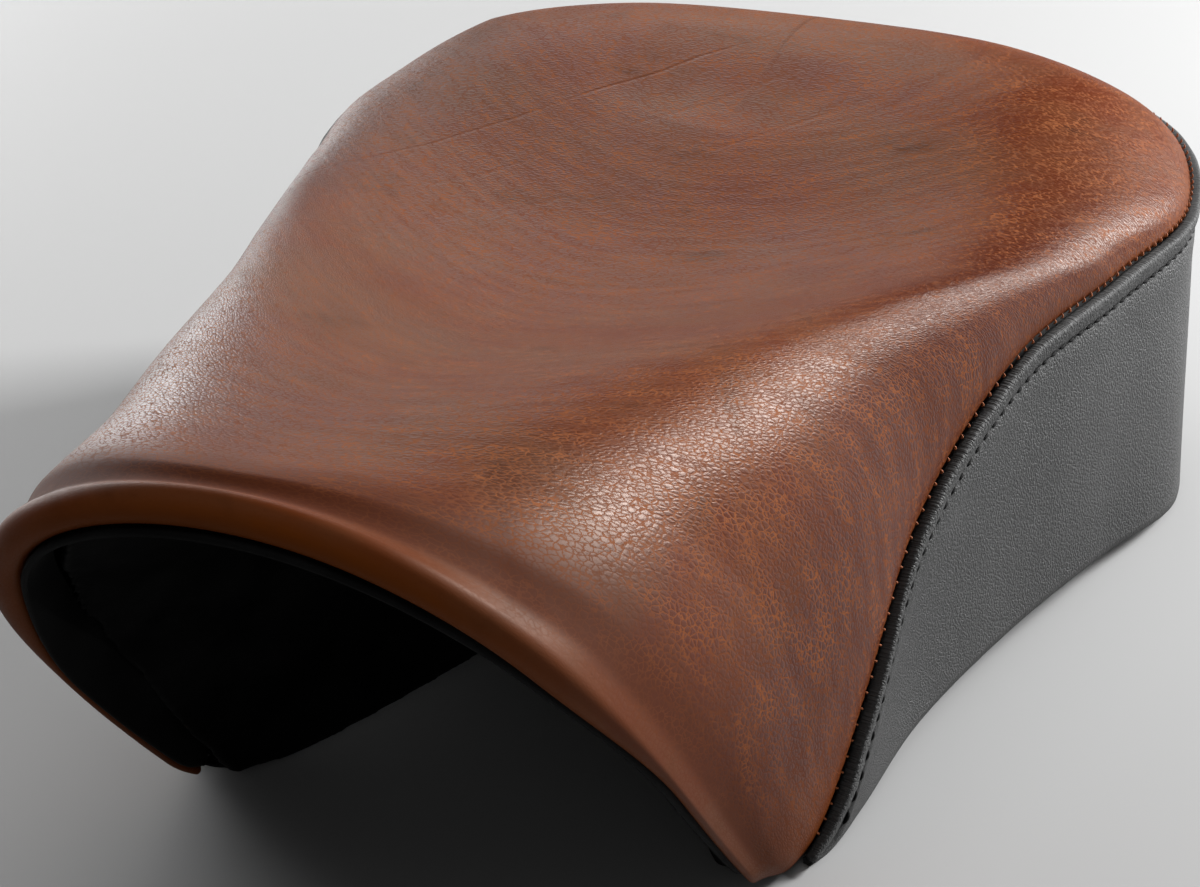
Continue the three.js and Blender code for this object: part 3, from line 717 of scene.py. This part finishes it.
# ---- materials
class Nodes:
    """Small helper that writes a material's node tree."""

    def __init__(self, name):
        self.material = bpy.data.materials.new(name)
        self.material.use_nodes = True
        self.tree = self.material.node_tree
        self.shader = self.tree.nodes["Principled BSDF"]

    def add(self, kind, inputs=(), **settings):
        node = self.tree.nodes.new("ShaderNode" + kind)
        for key, value in settings.items():
            setattr(node, key, value)
        for key, value in dict(inputs).items():
            self.put(node.inputs[key], value)
        return node

    def put(self, socket, value):
        if isinstance(value, bpy.types.NodeSocket):
            self.tree.links.new(value, socket)
        else:
            socket.default_value = value

    def math(self, operation, a, b=0.0, clamp=False):
        node = self.add("Math", operation=operation, use_clamp=clamp)
        self.put(node.inputs[0], a)
        self.put(node.inputs[1], b)
        return node.outputs[0]

    def ramp(self, value, low, high, out_low=0.0, out_high=1.0):
        node = self.add("MapRange", {"Value": value, "From Min": low, "From Max": high,
                                     "To Min": out_low, "To Max": out_high},
                        interpolation_type="SMOOTHSTEP")
        return node.outputs[0]

    def mix(self, factor, a, b):
        node = self.add("Mix", data_type="RGBA")
        self.put(node.inputs[0], factor)
        self.put(node.inputs[6], a if isinstance(a, bpy.types.NodeSocket) else (*a, 1))
        self.put(node.inputs[7], b if isinstance(b, bpy.types.NodeSocket) else (*b, 1))
        return node.outputs[2]

    def blend(self, factor, a, b):
        """Plain mix of two numbers."""
        node = self.add("Mix", data_type="FLOAT")
        for socket, value in zip((node.inputs[0], node.inputs[2], node.inputs[3]), (factor, a, b)):
            self.put(socket, value)
        return node.outputs[0]

    def attribute(self, name, output="Fac"):
        return self.add("Attribute", attribute_name=name).outputs[output]

    def scaled(self, vector, scale, shift=(0, 0, 0)):
        return self.add("Mapping", {"Vector": vector, "Scale": scale, "Location": shift}).outputs[0]

    def noise(self, vector, scale=1.0, detail=3.0, roughness=0.55, distortion=0.0):
        return self.add("TexNoise", {"Vector": vector, "Scale": scale, "Detail": detail,
                                     "Roughness": roughness, "Distortion": distortion}).outputs[0]

    def bump(self, height, strength, distance):
        return self.add("Bump", {"Height": height, "Strength": strength, "Distance": distance}).outputs[0]

    def finish(self, **inputs):
        for key, value in inputs.items():
            self.put(self.shader.inputs[key.replace("_", " ")], value)
        return self.material


def pebble(n, place, cells, warp):
    """Leather cells: 0 in the creases, 1 on the pebbles. Sizes in cells per millimetre on each axis."""
    scale = [1000 * c for c in cells]
    slow = n.scaled(place, [0.5 * c for c in scale])
    wobble = n.add("TexNoise", {"Vector": slow, "Detail": 2.0}).outputs[1]
    shift = n.add("VectorMath", operation="SCALE")
    n.put(shift.inputs[0], wobble)
    n.put(shift.inputs[3], warp)
    moved = n.add("VectorMath", operation="ADD")
    n.put(moved.inputs[0], n.scaled(place, scale))
    n.put(moved.inputs[1], shift.outputs[0])
    edges = n.add("TexVoronoi", {"Vector": moved.outputs[0], "Scale": 1.0}, feature="DISTANCE_TO_EDGE")
    return edges.outputs["Distance"]


# leather colours, linear
RED = (0.078, 0.0145, 0.0042)
DARK = (0.022, 0.0050, 0.0020)
BROWN = (0.090, 0.0230, 0.0075)
GREY = (0.084, 0.032, 0.0155)
TAN = (0.112, 0.026, 0.0030)
# painted shade for the flanks
FLANK_SHADE = (0.040, 0.0045, 0.0008)
WORN = (0.260, 0.080, 0.022)
# painted shade behind the lip
SHADE = (0.050, 0.011, 0.004)

# leather cells per millimetre: along the grain's lane, across it, and through
GRAIN_CELLS = (1.12, 0.42, 0.42)
TAIL_CELLS = (0.38, 1.0, 0.38)
COARSE_CELLS = (0.52, 0.17, 0.17)
LEATHER_BUMP = 0.00008
LEATHER_GLOSS = 0.08
LEATHER_TINT = (1.0, 0.55, 0.30, 1.0)

# faint creases across the top: heading in radians, offset and half width in metres, depth
FOLD_LINES = [(2.534, 0.096, 0.0013, 3.4), (2.534, 0.071, 0.0018, 1.4), (2.50, 0.047, 0.0016, 2.2)]
FOLD_WANDER = 0.006


def leather_colour(n, body, crease, cloud, streak, speck):
    """Base colour: mottled brown, paler where rubbed, with painted shade on the flanks and behind the lip.
    """
    patch = n.noise(n.scaled(body, (14, 14, 14)), 1.0, 4.0, 0.6)
    flank_shade = n.attribute("flank_shade")
    rolled = n.attribute("rolled")
    off_flank_shade = n.math("SUBTRACT", 1.0, flank_shade, clamp=True)
    colour = n.mix(n.ramp(cloud, 0.36, 0.62), RED, BROWN)
    colour = n.mix(n.math("MULTIPLY", n.ramp(patch, 0.42, 0.66, 0.0, 0.75), off_flank_shade), colour, GREY)
    colour = n.mix(n.ramp(cloud, 0.55, 0.76, 0.0, 0.65), colour, DARK)
    # painted shade down the flanks
    colour = n.mix(n.math("MULTIPLY", flank_shade, 0.8), colour, FLANK_SHADE)
    worn = n.math("MULTIPLY", crease, n.ramp(streak, 0.35, 0.65, 0.20, 0.70))
    worn = n.math("MULTIPLY", worn, n.math("SUBTRACT", 1.0, rolled, clamp=True))
    colour = n.mix(worn, colour, WORN)
    colour = n.mix(n.ramp(speck, 0.55, 0.75, 0.0, 0.3), colour, DARK)
    rub = n.math("ADD", n.math("MULTIPLY", n.attribute("seam"), 0.9), n.math("MULTIPLY", rolled, 0.6))
    rub = n.math("MULTIPLY", rub, n.ramp(cloud, 0.2, 0.65, 1.0, 0.55), clamp=True)
    colour = n.mix(rub, colour, TAN)
    height = n.add("SeparateXYZ", {"Vector": body}).outputs[2]
    colour = n.mix(n.ramp(height, 0.002, 0.05, 0.6, 0.0), colour, TAN)
    # painted shade behind the lip
    return n.mix(n.math("MULTIPLY", n.attribute("fold"), 0.72), colour, SHADE)


def fold_lines(n, body, height):
    """The height with the faint creases of the top pressed into it."""
    bend = n.noise(n.scaled(body, (22, 22, 22), (5, 2, 1)), 1.0, 3.0)
    fade = n.noise(n.scaled(body, (16, 16, 16), (1, 7, 3)), 1.0, 2.0)
    wander = n.math("MULTIPLY", n.math("SUBTRACT", bend, 0.5), FOLD_WANDER)
    strength = n.ramp(fade, 0.40, 0.55, 0.25, 1.0)
    x, y, _ = n.add("SeparateXYZ", {"Vector": body}).outputs
    for turn, offset, wide, deep in FOLD_LINES:
        level = n.math("ADD", n.math("MULTIPLY", x, math.cos(turn)), n.math("MULTIPLY", y, math.sin(turn)))
        gap = n.math("ABSOLUTE", n.math("SUBTRACT", n.math("ADD", level, wander), offset))
        height = n.math("SUBTRACT", height, n.math("MULTIPLY", n.ramp(gap, 0.0, wide, deep, 0.0), strength))
    return height


def leather_material():
    n = Nodes("distressed_leather")
    place = n.attribute("grain", "Vector")
    rolled = n.attribute("rolled")
    fold = n.attribute("fold")
    body = n.add("TexCoord").outputs["Object"]
    cells = (pebble(n, place, GRAIN_CELLS, 0.45), pebble(n, body, TAIL_CELLS, 0.45))
    fine = n.blend(n.attribute("tail"), *cells)
    coarse = pebble(n, n.scaled(place, (1, 1, 1), (0.7, 0.3, 0.1)), COARSE_CELLS, 0.5)
    crease = n.ramp(fine, 0.0, 0.12, 1.0, 0.0)
    cloud = n.noise(n.scaled(body, (34, 34, 34), (3, 1, 0)), 1.0, 5.0, 0.62, 0.6)
    streak = n.noise(n.scaled(place, (260, 40, 40)), 1.0, 3.0, 0.5)
    speck = n.noise(n.scaled(place, (1500, 1100, 1100)), 1.0, 2.0, 0.6)
    colour = leather_colour(n, body, crease, cloud, streak, speck)

    calm = n.math("SUBTRACT", 1.0, n.math("MULTIPLY", rolled, 0.85), clamp=True)
    calm = n.math("SUBTRACT", calm, n.math("MULTIPLY", fold, 0.8), clamp=True)
    height = n.math("ADD", n.ramp(fine, 0.0, 0.34), n.math("MULTIPLY", n.ramp(coarse, 0.0, 0.12), 0.45))
    height = n.math("MULTIPLY", height, calm)
    height = n.math("ADD", height, n.math("MULTIPLY", streak, 0.2))
    height = n.math("ADD", height, n.math("MULTIPLY", speck, 0.18))
    normal = n.bump(fold_lines(n, body, height), 0.5, LEATHER_BUMP)
    rough = n.ramp(cloud, 0.3, 0.7, 0.31, 0.38)
    for extra, share in ((n.math("MULTIPLY", crease, calm), 0.42), (fold, 0.36), (rolled, 0.16)):
        rough = n.math("ADD", rough, n.math("MULTIPLY", extra, share))
    return n.finish(Base_Color=colour, Roughness=rough, Normal=normal, Specular_IOR_Level=LEATHER_GLOSS,
                    Specular_Tint=LEATHER_TINT)


VINYL_CELLS = (1.0, 0.7, 0.7)
VINYL_CREASE = 0.014
VINYL_PEBBLE = 0.034
VINYL_DUST = (0.05, 0.05, 0.05)
VINYL_BUMP = 0.00025
VINYL_GLOSS = 0.30


def vinyl_material(name, rough, strength, shade):
    """Black grained vinyl; a lower shade is a darker one."""
    n = Nodes(name)
    place = n.attribute("grain", "Vector")
    cells = pebble(n, place, VINYL_CELLS, 0.6)
    soft = n.noise(n.scaled(place, (240, 90, 90)), 1.0, 3.0)
    cloud = n.noise(n.scaled(n.add("TexCoord").outputs["Object"], (30, 30, 30)), 1.0, 3.0)
    colour = n.mix(n.ramp(cells, 0.0, 0.2), (VINYL_CREASE * shade,) * 3, (VINYL_PEBBLE * shade,) * 3)
    colour = n.mix(n.ramp(cloud, 0.4, 0.7, 0.0, 0.4), colour, VINYL_DUST)
    height = n.math("ADD", n.ramp(cells, 0.0, 0.3), n.math("MULTIPLY", soft, 0.9))
    normal = n.bump(height, strength, VINYL_BUMP)
    rough = n.ramp(cloud, 0.3, 0.7, rough, rough + 0.1)
    return n.finish(Base_Color=colour, Roughness=rough, Normal=normal, Specular_IOR_Level=VINYL_GLOSS)


THREAD_TWIST = 2200.0
THREAD_BUMP = 0.00008
PLASTIC_SPECK = 900
PLASTIC_BUMP = 0.00012


def thread_material(name, colour, shade, gloss=0.4):
    """Twisted thread."""
    n = Nodes(name)
    place = n.add("TexCoord").outputs["Object"]
    twist = n.add("TexWave", {"Vector": place, "Scale": THREAD_TWIST, "Distortion": 2.0},
                  wave_type="BANDS", bands_direction="DIAGONAL")
    base = n.mix(twist.outputs[1], shade, colour)
    normal = n.bump(twist.outputs[1], 0.5, THREAD_BUMP)
    return n.finish(Base_Color=base, Roughness=0.75, Normal=normal, Specular_IOR_Level=gloss)


def plastic_material(name, colour, rough, metallic=0.0, gloss=0.5):
    """Speckled finish for plastic, rubber, foam and plated steel."""
    n = Nodes(name)
    place = n.add("TexCoord").outputs["Object"]
    speck = n.noise(n.scaled(place, (PLASTIC_SPECK,) * 3), 1.0, 3.0, 0.6)
    cloud = n.noise(n.scaled(place, (45,) * 3), 1.0, 4.0)
    light = tuple(min(1, c * 1.35 + 0.004) for c in colour)
    shade = tuple(c * 0.72 for c in colour)
    base = n.mix(n.ramp(cloud, 0.35, 0.68), shade, light)
    base = n.mix(n.ramp(speck, 0.35, 0.75, 0.0, 0.35), base, shade)
    normal = n.bump(speck, 0.4, PLASTIC_BUMP)
    roughness = n.ramp(cloud, 0.3, 0.7, rough - 0.06, rough + 0.08)
    return n.finish(Base_Color=base, Roughness=roughness, Normal=normal, Metallic=metallic,
                    Specular_IOR_Level=gloss)


FLOOR_SHADES = ((0.31,) * 3, (0.33,) * 3)


def floor_material():
    n = Nodes("pale_floor")
    place = n.add("TexCoord").outputs["Object"]
    cloud = n.noise(n.scaled(place, (1.5, 1.5, 1.5)), 1.0, 2.0)
    return n.finish(Base_Color=n.mix(cloud, *FLOOR_SHADES), Roughness=0.7)


def paint(thing, material):
    thing.data.materials.clear()
    thing.data.materials.append(material)


# ---- camera, lights and floor
VIEW = (math.radians(19.5), math.radians(26.2))      # azimuth and elevation
TARGET = Vector((-0.0014, 0.0021, 0.06133))
DISTANCE = 0.8814
LENS = 101.7
SENSOR = 36
LIGHT_AIM = (0, 0, 0.08)
# name, place, size and power in watts
LIGHTS = [("back_softbox", (0.76, 0.86, 0.54), (0.32, 0.42), 38),
          ("back_panel", (-0.60, 1.20, 0.62), (0.90, 0.40), 4.5),
          ("left_rim", (-1.05, 0.65, 0.26), (0.9, 0.40), 13),
          ("right_fill", (1.6, -0.2, 0.7), (1.0, 0.8), 1.2),
          ("top_fill", (0.1, -0.5, 1.8), (1.4, 1.4), 14),
          ("front_fill", (0.5, -1.7, 0.9), (1.2, 0.8), 2)]
WORLD_STRENGTH = 0.04
FLOOR_HALF = 6.0
FLOOR_STEPS = 12


def build_camera():
    azimuth, elevation = VIEW
    look = Vector((-math.sin(azimuth) * math.cos(elevation), math.cos(azimuth) * math.cos(elevation),
                   -math.sin(elevation)))
    right = Vector((math.cos(azimuth), math.sin(azimuth), 0))
    up = right.cross(look)
    data = bpy.data.cameras.new("photo_camera")
    data.lens = LENS
    data.sensor_width = SENSOR
    data.sensor_fit = "HORIZONTAL"
    camera = bpy.data.objects.new("photo_camera", data)
    turn = Matrix((right, up, -look)).transposed().to_4x4()
    camera.matrix_world = Matrix.Translation(TARGET - look * DISTANCE) @ turn
    bpy.context.scene.collection.objects.link(camera)
    bpy.context.scene.camera = camera


def area_light(name, where, size, power):
    data = bpy.data.lights.new(name, "AREA")
    data.shape = "RECTANGLE"
    data.size, data.size_y = size
    data.energy = power
    light = bpy.data.objects.new(name, data)
    light.location = where
    light.rotation_euler = (Vector(LIGHT_AIM) - Vector(where)).to_track_quat("-Z", "Y").to_euler()
    bpy.context.scene.collection.objects.link(light)


def build_stage():
    world = bpy.data.worlds.new("studio")
    world.use_nodes = True
    glow = world.node_tree.nodes["Background"]
    glow.inputs[0].default_value = (1, 1, 1, 1)
    glow.inputs[1].default_value = WORLD_STRENGTH
    bpy.context.scene.world = world
    bpy.context.scene.view_settings.view_transform = "Standard"
    line = np.linspace(-FLOOR_HALF, FLOOR_HALF, FLOOR_STEPS)
    points = np.array([[x, y, 0] for y in line for x in line])
    mesh = bpy.data.meshes.new("floor")
    mesh.from_pydata(points.tolist(), [], grid_faces(FLOOR_STEPS, FLOOR_STEPS).tolist())
    floor = bpy.data.objects.new("floor", mesh)
    bpy.context.scene.collection.objects.link(floor)
    paint(floor, floor_material())
    for light in LIGHTS:
        area_light(*light)


BLACK = ((0.006,) * 3, (0.001,) * 3)
TAN_THREAD = ((0.42, 0.12, 0.03), (0.18, 0.045, 0.012))
RUBBER = (0.0025,) * 3
BEAD = (0.5, 0.5, 0.46)
PAN_BLACK = (0.0015,) * 3
PAN_GLOSS = 0.05


def slot_materials():
    """One finish for each material slot of the record."""
    made = {}
    for row in frame["record"]["materials"]:
        key, colour, gloss = row["slot"], tuple(row["base_color"]), 0.5
        if key == "pan":
            colour, gloss = PAN_BLACK, PAN_GLOSS
        metallic = 1.0 if key == "zinc" else 0.0
        made[key] = plastic_material("finish_" + key, colour, 0.6, metallic=metallic, gloss=gloss)
    return made


def build_cover():
    """Everything that the photograph shows, with the bead and the staples behind it."""
    leather, lip_frame = build_leather()
    wall = build_wall()
    band = build_band()
    thread = build_topstitch()
    points = build_seam_points()
    strip = build_trim(lip_frame)
    bead = build_bead(lip_frame)
    staples = build_staples()
    paint(leather, leather_material())
    paint(wall, vinyl_material("grained_vinyl", 0.46, 0.8, 0.66))
    paint(band, vinyl_material("folded_vinyl", 0.6, 1.0, 0.75))
    paint(thread, thread_material("black_thread", *BLACK, 0.1))
    paint(points, thread_material("tan_thread", *TAN_THREAD))
    paint(strip, plastic_material("edge_rubber", RUBBER, 0.8, gloss=0.08))
    paint(bead, plastic_material("bead_plastic", BEAD, 0.5))
    for piece in (leather, wall, band, thread, points, strip, bead, staples):
        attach(piece, "root")
    return staples


def main():
    build_camera()
    staples = build_cover()
    slots = {part["node"]: part["material_slot"] for part in frame["record"]["subparts"]}
    pieces = build_copies()
    made = slot_materials()
    for name, node in NODES.items():
        paint(node, made[slots[name]])
    paint(staples, made["zinc"])
    for name, piece in pieces.items():
        paint(piece, made[slots[name]])
        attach(piece, "root")
    build_stage()


main()
